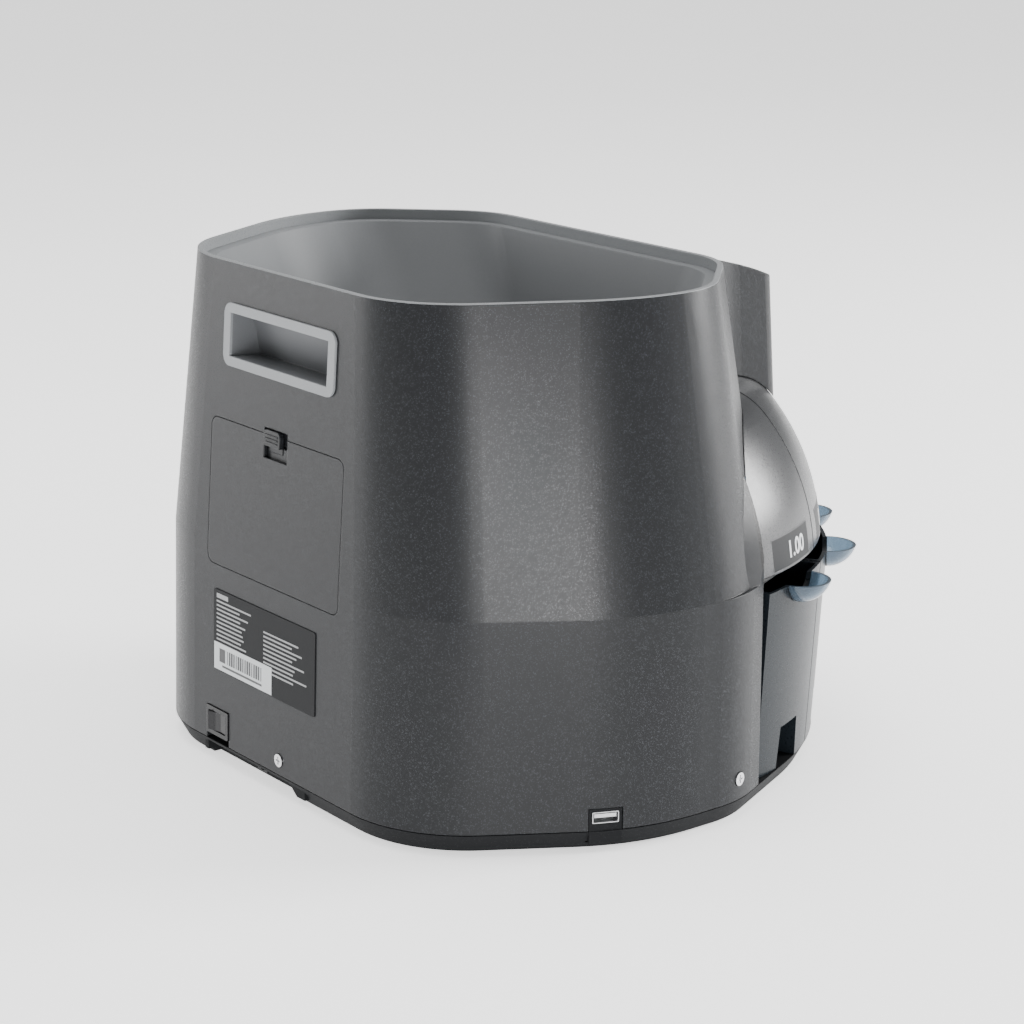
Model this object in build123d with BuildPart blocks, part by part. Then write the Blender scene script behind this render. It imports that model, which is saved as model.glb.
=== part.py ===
from build123d import *
from math import acos, asin, atan2, cos, degrees, hypot, radians, sin, tan
import os

os.makedirs("parts", exist_ok=True)

# A desktop coin counter: a hopper on top, a turning coin disc under it, and a fan of
# pull-out bins round the front. Millimetres, +Z up, the front faces -Y, and the origin
# is on the table under the middle of the machine's box.

# heights above the table
foot_height = 1.5
base_height = 11.0
seam_gap = 0.4
crease_height = 117.0
total_height = 264.0

# plan of the case, measured from the disc axis: half widths, and distances to the rear and the front
body_half_width = 176.5
body_rear = 151.0
crease_rear = 147.0
rim_half_width = 152.5
rim_rear = 136.0
rim_front = 64.5
front_spread = 9.5

# console in front of the hopper: half width, reach of its front at the top and the front's lean
console_half_width = 80.0
console_reach = 114.9
console_lean = 4.4
console_blend = 45.0
console_low = 150.0

# walls
case_wall = 3.0
bowl_wall = 2.5
cover_wall = 2.6
bin_wall = 2.0
base_wall = 3.0

# bins and the domed cover over them
bin_count = 7
bin_pitch = 22.2
bin_inner_radius = 92.0
bin_foot_radius = 164.5
bin_top_radius = 170.0
bin_top_height = 110.0
bin_travel = 85.0
scoop_radius = 15.0
scoop_depth = 11.5
scoop_wall = 1.8
cover_edge_radius = 166.0
cover_edge_height = 116.5
cover_mid_radius = 158.0
cover_mid_height = 153.0
cover_shoulder_radius = 140.0
cover_shoulder_height = 184.0
cover_top_radius = 108.0
cover_top_height = 199.0
cover_gap_angle = 1.3
groove_width = 1.4
groove_depth = 1.2

# coin drive
deck_height = 118.0
deck_thickness = 3.0
deck_radius = 159.0
bowl_mouth_height = 136.0
bowl_mouth_centre = 20.0
disc_radius = 100.0
finger_reach = 136.0
shaft_radius = 5.0
disc_pulley_radius = 46.0
motor_pulley_radius = 11.0
motor_offset = 98.0
motor_radius = 20.0
motor_length = 52.0
belt_height = 8.0
belt_thickness = 1.6

# how far the rocker's raised end stands out past the foot of the rear face
rocker_proud = 1.9

# clearances
running_fit = 0.05
slip_gap = 0.3
panel_gap = 0.35

# worked out: the disc axis lies where the machine's box is centred on the origin
front_reach = bin_top_radius + scoop_radius
axis_y = (front_reach - body_rear - rocker_proud) / 2
bin_spread = bin_count * bin_pitch / 2
cover_end = bin_spread - 0.2
case_end = bin_spread + cover_gap_angle
bin_floor_height = base_height + slip_gap


def level(height, turn=0.0):
    """Horizontal plane through the disc axis, its -Y turned about the axis."""
    a = radians(turn)
    return Plane(origin=(0, axis_y, height), x_dir=(cos(a), sin(a), 0), z_dir=(0, 0, 1))


def upright(turn=0.0, forward=0.0):
    """Vertical plane facing outwards at a turn from the front, x across it and y up."""
    a = radians(turn)
    out = (sin(a), -cos(a), 0)
    origin = (forward * out[0], axis_y + forward * out[1], 0)
    return Plane(origin=origin, x_dir=(cos(a), sin(a), 0), z_dir=out)


def profile_plane(turn):
    """Vertical half plane through the axis: x is the radius and y the height."""
    a = radians(turn)
    return Plane(origin=(0, axis_y, 0), x_dir=(sin(a), -cos(a), 0), z_dir=(-cos(a), -sin(a), 0))


def direction(turn):
    return Vector(sin(radians(turn)), -cos(radians(turn)), 0)


disc_axis = Axis((0, axis_y, 0), (0, 0, 1))

# right half of each outline from the rear to the front: x, y, corner radius
rim_corners = [
    (rim_half_width - 53.0, rim_rear, 62.0),
    (rim_half_width, 39.3, 105.0),
    (rim_half_width, -9.5, 50.0),
    (rim_half_width - 55.0, -rim_front, 50.0),
]
tower_corners = [
    (body_half_width - 64.0, crease_rear, 72.0),
    (body_half_width, 49.0, 115.0),
    (body_half_width, -16.0, 60.0),
    (body_half_width - 56.0, -rim_front - front_spread, 50.0),
]
# where the side runs on as a tangent to the round front
side_front, side_fillet = -10.0, 60.0
side_run = atan2(side_front, body_half_width)
side_run -= acos(bin_foot_radius / hypot(side_front, body_half_width))
front_corner = (bin_foot_radius * cos(side_run), bin_foot_radius * sin(side_run))
skirt_top_corners = [
    (body_half_width - 64.0, crease_rear, 72.0),
    (body_half_width, 49.0, 115.0),
    (body_half_width, side_front, side_fillet),
    (*front_corner, 0),
]
skirt_foot_corners = [
    (body_half_width - 63.0, body_rear, 72.0),
    (body_half_width, 50.0, 115.0),
    (body_half_width, side_front, side_fillet),
    (*front_corner, 0),
]


def outline(plane, corners, depth=0.0):
    """Outline on a plane, mirrored about the centre plane and moved in by depth."""
    points = [(x, y) for x, y, r in corners] + [(-x, y) for x, y, r in reversed(corners)]
    radii = [r for x, y, r in corners] + [r for x, y, r in reversed(corners)]
    with BuildSketch(plane) as sketch:
        with BuildLine():
            FilletPolyline(*points, radius=radii, close=True)
        make_face()
        if depth:
            offset(amount=-depth, mode=Mode.REPLACE)
    return sketch.sketch


def cover_profile(turn, grow=0.0):
    """Half section of the dome at a turn: its curved side, its flat top and the axis."""
    side = (cover_edge_radius + grow, cover_edge_height)
    middle = (cover_mid_radius + grow, cover_mid_height + grow * 0.25)
    brow = (cover_shoulder_radius + grow * 0.8, cover_shoulder_height + grow * 0.6)
    top = (cover_top_radius, cover_top_height + grow)
    with BuildSketch(profile_plane(turn)) as sketch:
        with BuildLine():
            ThreePointArc(side, middle, brow)
            Spline(brow, top, tangents=[(-0.62, 0.78), (-1, 0)])
            Polyline(top, (0, top[1]), (0, side[1]), side)
        make_face()
    return sketch.sketch


def band(inner, outer, low, high, first=0.0, last=360.0):
    """Solid band about the axis between two radii, two heights and two turns."""
    with BuildPart() as solid:
        with BuildSketch(profile_plane(first)):
            with Locations(((inner + outer) / 2, (low + high) / 2)):
                Rectangle(outer - inner, high - low)
        revolve(axis=disc_axis, revolution_arc=last - first)
    return solid.part


def dome(grow, first, last):
    """Solid sector of the dome with its surface moved out by grow."""
    with BuildPart() as solid:
        revolve(cover_profile(first, grow), axis=disc_axis, revolution_arc=last - first)
    return solid.part


def column(low_corners, low, high_corners, high, depth=0.0):
    """Straight-sided body between two outlines, both moved in by depth."""
    with BuildPart() as solid:
        sections = [outline(level(low), low_corners, depth), outline(level(high), high_corners, depth)]
        loft(sections=[section.face() for section in sections], ruled=True)
    return solid.part


def console_corners(height):
    """Right half of the console's outline at a height, starting inside the tower."""
    drop = total_height - height
    tower_front = rim_front + front_spread * drop / (total_height - crease_height)
    root = -tower_front - 1.5
    front = -console_reach - drop * tan(radians(console_lean))
    return [
        (console_half_width + 38.0, root + 26.0, 0),
        (console_half_width, root, console_blend),
        (console_half_width, front, 8.0),
    ]


def console(depth=0.0):
    """Console that carries the controls in front of the hopper, moved in by depth."""
    high = total_height - 0.8 - depth
    with BuildPart() as solid:
        sections = [outline(level(h), console_corners(h), depth) for h in (console_low, total_height)]
        loft(sections=[section.face() for section in sections], ruled=True)
        with BuildSketch(profile_plane(0)):
            with BuildLine():
                crown = ThreePointArc((rim_front - 16.5, high), (console_reach - 22.6, high - 7.8),
                                      (console_reach - 2.6, high - 15.1))
                brow = ThreePointArc(crown @ 1, (console_reach + 1.3, high - 18.2),
                                     (console_reach + 4.1, high - 23.7))
                Polyline(brow @ 1, (console_reach + 20.0, high - 23.7), (console_reach + 20.0, console_low - 1),
                         (20.0, console_low - 1), (20.0, high), crown @ 0)
            make_face()
        extrude(amount=console_half_width + 60.0, both=True, mode=Mode.INTERSECT)
    return solid.part


def save(solid, name):
    solid.part.label = name
    export_step(solid.part, "parts/" + name + ".step")


def shoulder(depth, first, last):
    """The case's side swell beside the dome, kept inside the skirt's outline."""
    swell = dome(4.5 - depth, first, last)
    limit = column(skirt_top_corners, crease_height - 1, skirt_top_corners, 210.0, depth)
    with BuildPart() as solid:
        add(swell)
        add(limit, mode=Mode.INTERSECT)
    return solid.part


def case_form(depth):
    """The case's plain form moved in by depth, before it is cut open for the bins."""
    pieces = [
        column(tower_corners, crease_height - depth, rim_corners, total_height, depth),
        column(skirt_foot_corners, base_height + seam_gap, skirt_top_corners, crease_height, depth),
        shoulder(depth, -125.0, -case_end),
        shoulder(depth, case_end, 125.0),
    ]
    with BuildPart() as solid:
        for piece in pieces:
            add(piece)
    return solid.part


def rear_height_plane(height):
    """Plane on the rear face at a height: x to the left of the front view, y up the face."""
    if height > crease_height:
        lean = (crease_rear - rim_rear) / (total_height - crease_height)
        reach = crease_rear - lean * (height - crease_height)
    else:
        lean = (body_rear - crease_rear) / (crease_height - base_height - seam_gap)
        reach = crease_rear + lean * (crease_height - height)
    return Plane(origin=(0, axis_y + reach, height), x_dir=(-1, 0, 0), z_dir=(0, 1, lean))


def wall_plane(x, y, height, nx, ny):
    """Plane on a side wall, facing along (nx, ny), x across it and y up."""
    return Plane(origin=(x, axis_y + y, height), x_dir=(-ny, nx, 0), z_dir=(nx, ny, 0))


def rounded_block(plane, width, depth, corner, start, end, x=0.0, y=0.0):
    """Rounded rectangle on a plane, filled from one distance along its normal to another."""
    with BuildPart() as solid:
        with BuildSketch(plane.offset(start)):
            with Locations((x, y)):
                if corner:
                    RectangleRounded(width, depth, corner)
                else:
                    Rectangle(width, depth)
        extrude(amount=end - start)
    return solid.part


def rod(plane, radius, start, end, x=0.0, y=0.0):
    """Round rod along a plane's normal from one distance to another."""
    with BuildPart() as solid:
        with BuildSketch(plane.offset(start)):
            with Locations((x, y)):
                Circle(radius)
        extrude(amount=end - start)
    return solid.part


def combine(adds, cuts=(), keeps=()):
    """One body from pieces added, then cut, then kept to."""
    with BuildPart() as solid:
        for piece in adds:
            add(piece)
        for piece in cuts:
            add(piece, mode=Mode.SUBTRACT)
        for piece in keeps:
            add(piece, mode=Mode.INTERSECT)
    return solid.part


seam_height = base_height + seam_gap
bin_turns = [(i - (bin_count - 1) / 2) * bin_pitch for i in range(bin_count)]

# carrying handle, service hatch, rating plate and switch on the rear face
handle_width, handle_height, handle_at = 100.0, 32.0, total_height - 36.0
handle_pocket_width, handle_pocket_height = 88.0, 22.0
handle_pocket_top, handle_pocket_foot, handle_wall = 11.0, 17.5, 1.6
hatch_width, hatch_height, hatch_at, hatch_wall = 120.0, 76.5, 145.75, 1.9
latch_width, latch_drop, latch_nose = 15.0, 3.0, 2.7
latch_notch_width, latch_notch_drop, latch_notch_rise = 21.0, 12.0, 3.3
plate_width, plate_height, plate_at, plate_x = 95.0, 43.5, 72.8, -6.0
plate_thickness = 0.5
switch_width, switch_height, switch_x, switch_at = 21.0, 15.0, -50.0, 22.2
rocker_width, rocker_height, rocker_tilt, rocker_sweep = 14.4, 10.0, 8.0, 1.2
usb_width, usb_height, usb_at = 13.1, 5.7, 17.9
usb_x, usb_y, usb_nx, usb_ny = -165.1, 65.7, -0.913, 0.408
screw_head_radius, screw_head_height, screw_radius, screw_length = 3.4, 1.9, 1.5, 8.0

handle_plane = rear_height_plane(handle_at)
hatch_plane = rear_height_plane(hatch_at)
plate_plane = rear_height_plane(plate_at)
switch_plane = rear_height_plane(switch_at)
usb_plane = wall_plane(usb_x, usb_y, usb_at, usb_nx, usb_ny)
screw_y, screw_at, rear_screw_x, rear_screw_at = -11.5, 22.0, -9.0, 19.0
screw_turn = asin((side_front - side_fillet * tan(side_run / 2) - screw_y) / side_fillet)
screw_x = body_half_width - side_fillet * (1 - cos(screw_turn))
screw_planes = [
    Plane(origin=rear_height_plane(rear_screw_at).origin + Vector(rear_screw_x, 0, 0),
          x_dir=(-1, 0, 0), z_dir=(0, 1, 0)),
    wall_plane(-screw_x, screw_y, screw_at, -cos(screw_turn), -sin(screw_turn)),
    wall_plane(screw_x, screw_y, screw_at, cos(screw_turn), -sin(screw_turn)),
]

# control panel on the console's front
panel_width, panel_height, panel_thickness, panel_at = 144.0, 40.0, 2.0, total_height - 43.5
display_width, display_height, display_x, display_y = 46.0, 22.0, -40.0, 0.5
key_width, key_height, key_proud = 12.0, 9.0, 1.4
key_first_x, key_column_pitch, key_row_pitch = -3.0, 15.0, 15.0
start_key_radius, start_key_x = 7.0, 58.5
panel_lean = radians(console_lean)
panel_reach = console_reach + (total_height - panel_at) * tan(panel_lean)
panel_plane = Plane(origin=(0, axis_y - panel_reach, panel_at), x_dir=(1, 0, 0),
                    z_dir=(0, -cos(panel_lean), sin(panel_lean)))
passage_width, passage_height, passage_at = 60.0, 24.0, total_height - 49.0

tower_form = column(tower_corners, crease_height, rim_corners, total_height)
console_hollow = combine([console(case_wall)], [tower_form])


# case: one moulding from the rim down to the base
def rear_skin(depth):
    """Shell of the case's plain form, from its surface to a depth."""
    low = [column(skirt_foot_corners, seam_height, skirt_top_corners, crease_height, d) for d in (0, depth)]
    high = [tower_form,
            column(tower_corners, crease_height - depth, rim_corners, total_height, depth)]
    return combine([low[0], high[0]], [low[1], high[1]])


hatch_seat_block = rounded_block(hatch_plane, hatch_width + 2 * panel_gap, hatch_height + 2 * panel_gap,
                                 5.0 + panel_gap, -20.0, 10.0)
notch_recess = rounded_block(hatch_plane, latch_notch_width, 2 * latch_notch_rise, 0, -20.0, 10.0,
                             0, hatch_height / 2)
hatch_seat = combine([hatch_seat_block, notch_recess], keeps=[rear_skin(hatch_wall + slip_gap)])
hatch_hole_width = hatch_width - 8.0
hatch_hole_height = hatch_height - 8.0
switch_slot = 2 * (switch_at - seam_height + 2)
usb_tab_width = usb_width + 3.4
usb_tab_top = usb_at + usb_height / 2 + 1.6
usb_slot = usb_tab_top + slip_gap
handle_opening = handle_pocket_width + 2 * handle_wall + 2 * slip_gap
handle_opening_height = handle_pocket_height + 2 * handle_wall + 2 * slip_gap
screw_seat = -1.3
ledge_height, ledge_depth, bowl_flange = total_height - 10.5, 2.5, total_height - 8.0
wall_reach = bin_foot_radius / cos(radians(case_end - 90) - side_run) - 0.8
case_cuts = [
    case_form(case_wall),
    console_hollow,
    rounded_block(upright(0, rim_front), passage_width, passage_height, 5.0, -4.0, 7.0, 0, passage_at),
    dome(slip_gap, -case_end, case_end),
    band(0, 220.0, 0, cover_edge_height, -case_end, case_end),
    hatch_seat,
    rounded_block(hatch_plane, hatch_hole_width, hatch_hole_height, 3.0, -20.0, 10.0),
    rounded_block(handle_plane, handle_opening, handle_opening_height, 0, -8.0, 8.0),
    rounded_block(switch_plane, switch_width + 2 * slip_gap, switch_slot, 0, -9.0, 9.0,
                  switch_x, switch_height / 2 + slip_gap - switch_slot / 2),
    rounded_block(usb_plane, usb_tab_width + 2 * slip_gap, usb_slot, 0, -8.0, 8.0, 0, usb_slot / 2 - usb_at),
    rounded_block(panel_plane, panel_width - 8, panel_height - 8, 3.0, -12.0, 6.0),
]
case_cuts += [rod(p, screw_radius + slip_gap, -9.0, 6.0) for p in screw_planes]
case_cuts += [rod(p, screw_head_radius + slip_gap, screw_seat, 6.0) for p in screw_planes]

bay_walls = []
for side in (-1, 1):
    first, last = sorted((side * case_end, side * (case_end + 1.1)))
    lip = combine([dome(1.5, first, last)], [dome(-5.5, first - 1, last + 1), band(0, 130.0, 100.0, 210.0)])
    bay_walls += [band(bin_inner_radius, wall_reach, seam_height, deck_height, first, last), lip]

bowl_ledge = combine(
    [column(tower_corners, crease_height, rim_corners, total_height, case_wall - 0.2)],
    [column(tower_corners, crease_height, rim_corners, total_height, case_wall + ledge_depth)],
    [rounded_block(level(0), 400, 400, 0, ledge_height, bowl_flange)],
)

with BuildPart() as housing:
    add(case_form(0.0))
    add(console())
    for cut in case_cuts:
        add(cut, mode=Mode.SUBTRACT)
    for wall in bay_walls:
        add(wall)
    add(bowl_ledge)
save(housing, "housing")

# domed cover over the bins, with a groove between every two bins and a seat for each number
number_half_angle, number_low, number_top, number_depth = 7.5, 118.0, 134.0, 0.9
cover_outer = dome(0, -cover_end, cover_end)
groove = combine(
    [rounded_block(upright(), groove_width, 100.0, 0, 100.0, 175.0, 0, 160.0)],
    [dome(-groove_depth, -3.0, 3.0)],
)
number_plate = combine(
    [dome(0, -number_half_angle, number_half_angle)],
    [dome(-number_depth, -10.0, 10.0)],
    [band(140.0, 175.0, number_low, number_top, -20.0, 20.0)],
)
number_seat = combine(
    [dome(2.0, -number_half_angle - 0.05, number_half_angle + 0.05)],
    [dome(-number_depth, -10.0, 10.0)],
    [band(140.0, 175.0, number_low - 0.1, number_top + 0.1, -20.0, 20.0)],
)
cover_rib = band(deck_radius - 3.0, cover_edge_radius - cover_wall, deck_height + deck_thickness,
                 deck_height + deck_thickness + 6.0, -1.2, 1.2)
cover_rib = combine([cover_rib], keeps=[dome(-1.0, -10.0, 10.0)])
with BuildPart() as front_cover:
    add(cover_outer)
    add(dome(-cover_wall, -cover_end - 1, cover_end + 1), mode=Mode.SUBTRACT)
    add(column(tower_corners, crease_height - 1, rim_corners, total_height, -slip_gap), mode=Mode.SUBTRACT)
    for turn in bin_turns[1:]:
        add(groove.rotate(disc_axis, turn - bin_pitch / 2), mode=Mode.SUBTRACT)
        add(cover_rib.rotate(disc_axis, turn - bin_pitch / 2))
    for turn in bin_turns:
        add(number_seat.rotate(disc_axis, turn), mode=Mode.SUBTRACT)
save(front_cover, "front_cover")

with BuildPart() as number_plates:
    for turn in bin_turns:
        add(number_plate.rotate(disc_axis, turn))
save(number_plates, "number_plates")


# base: a shelf under the bins in front, a tray for the drive and electronics behind
def base_outline(height, depth):
    """The base's outline: the case's foot with the round bin shelf in front."""
    points = [(x, y) for x, y, r in skirt_foot_corners]
    points += [(-x, y) for x, y, r in reversed(skirt_foot_corners)]
    radii = [r for x, y, r in skirt_foot_corners + skirt_foot_corners[::-1]]
    with BuildSketch(level(height)) as sketch:
        with BuildLine():
            FilletPolyline(*points, radius=radii, close=True)
        make_face()
        with BuildLine():
            arc = CenterArc((0, 0), bin_foot_radius, 180 - degrees(side_run), 180 + 2 * degrees(side_run))
            Line(arc @ 1, arc @ 0)
        make_face()
        if depth:
            offset(amount=-depth, mode=Mode.REPLACE)
    return sketch.sketch


def tray_box(width, depth, low, high, x, y, corner=0):
    """Upright block standing at a place measured from the disc axis."""
    return rounded_block(level(low), width, depth, corner, 0, high - low, x, y)


def post(radius, low, high, x, y):
    """Round post standing at a place measured from the disc axis."""
    return rod(level(low), radius, 0, high - low, x, y)


tray_floor = foot_height + base_wall
foot_radius, foot_recess = 9.0, 0.5
foot_places = [(-105.0, 105.0), (105.0, 105.0)]
foot_places += [(150.0 * sin(radians(t)), -150.0 * cos(radians(t))) for t in (-1.5 * bin_pitch, 1.5 * bin_pitch)]
guide_width, guide_height, guide_inner, guide_outer = 8.0, 7.0, 100.0, 156.0
board_x, board_y, board_width, board_depth, board_height = 85.0, 70.0, 80.0, 60.0, 10.5
board_posts = [(board_x + a * 34.0, board_y + b * 24.0) for a in (-1, 1) for b in (-1, 1)]
deck_posts = [(-140.0, 30.0), (140.0, 30.0)]
jack_x, jack_width, jack_low, jack_top, jack_length = 20.0, 9.0, 2.4, 9.0, 14.0
recess_low, recess_top, recess_depth = foot_height, 9.0, 9.0
recess_back = body_rear - recess_depth
screw_tab_gap, screw_tab = 1.0, 6.0

with BuildPart() as base_body:
    loft(sections=[base_outline(foot_height, 5.0).face(), base_outline(base_height, 0).face()], ruled=True)
tray_hollow = combine(
    [column(skirt_foot_corners, tray_floor, skirt_foot_corners, base_height + 5, 6.5)],
    [band(0, 220.0, 0, 30.0, -case_end - 3, case_end + 3)],
)
base_cuts = [tray_hollow]
base_cuts += [band(98.0, 138.0, 0, base_height - base_wall, turn - 9.0, turn + 9.0) for turn in bin_turns]
base_cuts += [post(foot_radius + 0.1, 0, foot_height + foot_recess, x, y) for x, y in foot_places]
with BuildPart() as recess:
    with BuildSketch(Plane(origin=(0, axis_y + recess_back, 0), x_dir=(-1, 0, 0), z_dir=(0, 1, 0))):
        with BuildLine():
            Polyline((-62.0, recess_low - 1), (-62.0, recess_top), (16.0, recess_top),
                     (27.0, recess_low - 1), close=True)
        make_face()
    extrude(amount=recess_depth + 5)
base_cuts += [recess.part]
recess_walls = [tray_box(96.0, recess_depth + 4, tray_floor - 1, base_height, 17.5, recess_back + 1)]
jack_hole = tray_box(jack_width + 0.2, jack_length + 6, jack_low - 0.1, jack_top + 0.1,
                     jack_x, recess_back + 2.5 - jack_length / 2)
usb_tab = rounded_block(usb_plane, usb_tab_width, usb_tab_top - tray_floor, 0, -case_wall, 0,
                        0, (usb_tab_top + tray_floor) / 2 - usb_at)
usb_hole = rounded_block(usb_plane, usb_width + 0.2, usb_height + 0.2, 0, -8.0, 2.0)
usb_relief = rounded_block(usb_plane, usb_tab_width + 2, base_height, 0, -case_wall - 12, -case_wall,
                           0, tray_floor + base_height / 2 - usb_at)
screw_tabs = [
    rounded_block(p, 14.0, p.origin.Z - tray_floor + 6, 0, -case_wall - screw_tab_gap - screw_tab,
                  -case_wall - screw_tab_gap, 0, (6 + tray_floor - p.origin.Z) / 2)
    for p in screw_planes
]
with BuildPart() as base_pan:
    add(base_body.part)
    for cut in [tray_hollow, usb_relief]:
        add(cut, mode=Mode.SUBTRACT)
    for wall in recess_walls + screw_tabs:
        add(wall)
    for cut in base_cuts[1:] + [jack_hole]:
        add(cut, mode=Mode.SUBTRACT)
    add(usb_tab)
    add(usb_hole, mode=Mode.SUBTRACT)
    for turn in bin_turns:
        add(rounded_block(upright(turn), guide_width, guide_height, 0, guide_inner, guide_outer,
                          0, base_height + guide_height / 2))
    for x, y in board_posts:
        add(post(3.0, tray_floor, board_height, x, y))
    for x, y in deck_posts:
        add(post(5.0, tray_floor, deck_height, x, y))
    for p in screw_planes:
        add(rod(p, screw_radius + 0.02, -12.0, 0), mode=Mode.SUBTRACT)
save(base_pan, "base_pan")

with BuildPart() as rubber_feet:
    for x, y in foot_places:
        add(post(foot_radius, 0, foot_height + foot_recess, x, y))
save(rubber_feet, "rubber_feet")

with BuildPart() as case_screws:
    for p in screw_planes:
        head = rod(p, screw_head_radius, screw_seat, screw_seat + screw_head_height)
        cross = [rounded_block(p, a, b, 0, screw_seat + 0.9, screw_seat + 3) for a, b in ((4.2, 0.9), (0.9, 4.2))]
        add(combine([head, rod(p, screw_radius, screw_seat - screw_length, screw_seat)], cross))
save(case_screws, "case_screws")

# bins: one form at the front, turned about the disc axis for each bin
bin_half_angle = bin_pitch / 2 - 0.2
tunnel_width, tunnel_height = guide_width + 2 * slip_gap + 0.6, guide_height + 1.0
grip_low_width, grip_top_width, grip_height, grip_depth = 24.0, 20.0, 22.0, 10.0
bin_lean = (bin_top_radius - bin_foot_radius) / (bin_top_height - bin_floor_height)


def bin_block(depth, floor, half_angle):
    """Solid sector with the leaning front, moved in by depth, from a floor to the top."""
    def front(height):
        return bin_foot_radius + bin_lean * (height - bin_floor_height) - depth
    top = bin_top_height if not depth else bin_top_height + 2
    with BuildPart() as solid:
        with BuildSketch(profile_plane(-half_angle)):
            with BuildLine():
                Polyline((bin_inner_radius + depth, floor), (front(floor), floor), (front(top), top),
                         (bin_inner_radius + depth, top), close=True)
            make_face()
        revolve(axis=disc_axis, revolution_arc=2 * half_angle)
    return solid.part


def scoop_block(wall):
    """Rounded bowl for a finger, hung on the bin's front edge, its surface moved in by wall."""
    edge, deep = scoop_radius - wall, scoop_depth - wall
    top = bin_top_height + (1.0 if wall else 0)
    low = bin_top_height - deep
    ball = (edge * edge + deep * deep) / (2 * deep)
    half_turn = atan2(deep, edge)
    middle = (ball * sin(half_turn), low + ball * (1 - cos(half_turn)))
    origin = (0, axis_y - bin_top_radius, 0)
    with BuildPart() as solid:
        with BuildSketch(Plane(origin=origin, x_dir=(1, 0, 0), z_dir=(0, -1, 0))):
            with BuildLine():
                ThreePointArc((edge, bin_top_height), middle, (0, low))
                if wall:
                    Polyline((0, low), (0, top), (edge, top), (edge, bin_top_height))
                else:
                    Polyline((0, low), (0, top), (edge, top))
            make_face()
        revolve(axis=Axis(origin, (0, 0, 1)), revolution_arc=360)
    return solid.part


def grip_block(wall):
    """Tapered pocket at the foot of the bin's front, moved out by wall."""
    low = bin_floor_height - 1
    with BuildPart() as solid:
        with BuildSketch(upright(0, bin_foot_radius - grip_depth - wall)):
            with BuildLine():
                Polyline((-grip_low_width / 2 - wall, low), (grip_low_width / 2 + wall, low),
                         (grip_top_width / 2 + wall, bin_floor_height + grip_height + wall),
                         (-grip_top_width / 2 - wall, bin_floor_height + grip_height + wall), close=True)
            make_face()
        extrude(amount=30.0)
    return solid.part


def tunnel_block(wall):
    """Channel under the bin over its guide, moved out by wall."""
    return rounded_block(upright(), tunnel_width + 2 * wall, 2 * (tunnel_height + wall), 0,
                         bin_inner_radius - 5, bin_foot_radius, 0, bin_floor_height)


bin_outer = bin_block(0, bin_floor_height, bin_half_angle)
bin_hollow = combine(
    [bin_block(bin_wall, bin_floor_height + bin_wall, bin_half_angle - 0.95)],
    [grip_block(bin_wall), tunnel_block(bin_wall)],
)
scoop_front = combine([scoop_block(0)],
                      keeps=[rounded_block(upright(), 60.0, 240.0, 0, bin_top_radius - 1.2, 200.0)])
bin_form = combine([bin_outer, scoop_front], [bin_hollow, scoop_block(scoop_wall), grip_block(0), tunnel_block(0)])
for number, turn in enumerate(bin_turns, 1):
    with BuildPart() as coin_bin:
        add(bin_form.rotate(disc_axis, turn))
    save(coin_bin, "bin_" + str(number))

# curved wall behind the bins, which also carries the deck
bay_radius, bay_half_angle = 86.0, 80.0
with BuildPart() as bin_bay_wall:
    add(band(bay_radius, bay_radius + bowl_wall, base_height, deck_height, -bay_half_angle, bay_half_angle))
    add(band(bay_radius - 8, bay_radius + 0.1, base_height, base_height + 2, -bay_half_angle, bay_half_angle))
save(bin_bay_wall, "bin_bay_wall")

# hopper bowl
mouth_corners = [(28.0, 66.0 + bowl_mouth_centre, 18.0), (66.0, 28.0 + bowl_mouth_centre, 18.0),
                 (66.0, bowl_mouth_centre - 28.0, 18.0), (28.0, bowl_mouth_centre - 66.0, 18.0)]
bowl_top = bowl_flange + bowl_wall
bowl_rim = case_wall + ledge_depth + 3.5
bowl_solids = []
for grow in (0, bowl_wall):
    with BuildPart() as bowl_solid:
        loft(sections=[outline(level(bowl_mouth_height), mouth_corners, -grow).face(),
                       outline(level(bowl_top), rim_corners, bowl_rim - grow).face()], ruled=True)
    bowl_solids.append(bowl_solid.part)
bowl_rim_plate = combine(
    [column(tower_corners, crease_height, rim_corners, total_height, case_wall + 0.05)],
    keeps=[rounded_block(level(0), 400, 400, 0, bowl_flange, bowl_top)],
)
with BuildPart() as hopper_bowl:
    add(bowl_solids[1])
    add(bowl_rim_plate)
    add(bowl_solids[0], mode=Mode.SUBTRACT)
save(hopper_bowl, "hopper_bowl")

# coin disc over the sorting deck, and its belt drive below
coin_widths = [27.0 - 1.7 * i for i in range(bin_count)]
window_edge, window_half_angle = 150.0, 6.0
disc_low, disc_plate, finger_top, finger_count, finger_width = 123.0, 3.0, 130.0, 6, 5.0
hub_radius, hub_top = 24.0, 150.0
deck_keep = column(tower_corners, crease_height - 1, rim_corners, total_height, case_wall + 1.0)
with BuildPart() as sorting_deck:
    add(band(0, deck_radius, deck_height, deck_height + deck_thickness))
    add(deck_keep, mode=Mode.INTERSECT)
    add(post(shaft_radius + 1.5, 0, 200.0, 0, 0), mode=Mode.SUBTRACT)
    for turn, wide in zip(bin_turns, coin_widths):
        window = band(window_edge - wide, window_edge, 110.0, 130.0,
                      turn - window_half_angle, turn + window_half_angle)
        add(window, mode=Mode.SUBTRACT)
save(sorting_deck, "sorting_deck")

deck_top = deck_height + deck_thickness
with BuildPart() as coin_rail:
    add(band(window_edge + 0.5, window_edge + 3.0, deck_top, deck_top + 6.0, -110.0, 110.0))
    add(deck_keep, mode=Mode.INTERSECT)
save(coin_rail, "coin_rail")

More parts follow.
